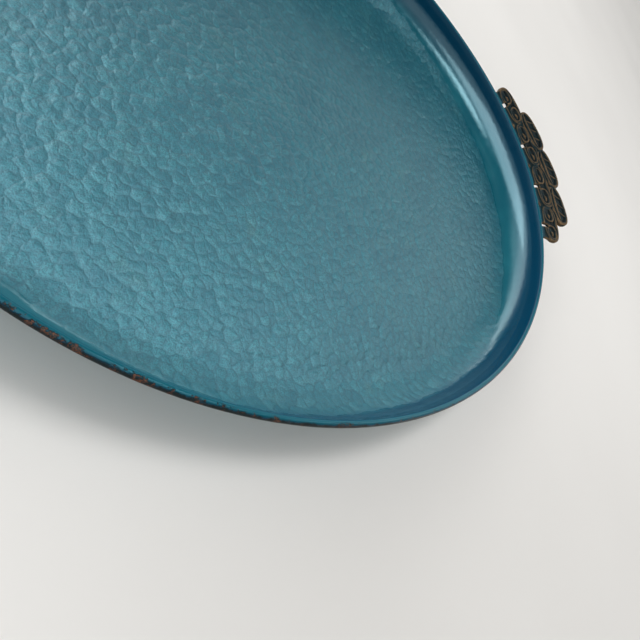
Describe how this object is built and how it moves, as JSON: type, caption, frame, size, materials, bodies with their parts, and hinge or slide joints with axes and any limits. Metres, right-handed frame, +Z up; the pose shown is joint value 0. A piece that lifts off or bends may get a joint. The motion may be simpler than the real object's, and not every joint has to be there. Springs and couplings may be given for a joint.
{
  "type": "handled oval tray",
  "caption": "Oval hammered metal serving tray with a steep flared wall, a rolled rim and cast openwork leaf handles.",
  "frame": {"origin": "centre of the flat underside that the tray rests on", "axes": "+X along the long axis towards handle_right, +Y along the short axis, +Z up out of the basin"},
  "size_m": [0.5328, 0.3484, 0.0399],
  "materials": {
    "shell_glaze": "glossy teal baked glaze over hammered sheet steel, chipped to brown metal along the rim",
    "wire_steel": "plain drawn steel wire",
    "cast_bronze": "cast copper alloy, teal glaze and dark patina in the hollows, worn brown on the high edges",
    "braze_metal": "brass filler metal under the teal glaze"
  },
  "bodies": {
    "root": {"tray_shell": "shell_glaze", "rim_wire": "wire_steel", "handle_right": "cast_bronze", "handle_left": "cast_bronze", "braze_right_1": "braze_metal", "braze_right_2": "braze_metal", "braze_right_3": "braze_metal", "braze_right_4": "braze_metal", "braze_right_5": "braze_metal", "braze_right_6": "braze_metal", "braze_right_7": "braze_metal", "braze_right_8": "braze_metal", "braze_left_1": "braze_metal", "braze_left_2": "braze_metal", "braze_left_3": "braze_metal", "braze_left_4": "braze_metal", "braze_left_5": "braze_metal", "braze_left_6": "braze_metal", "braze_left_7": "braze_metal", "braze_left_8": "braze_metal"}
  },
  "joints": []
}
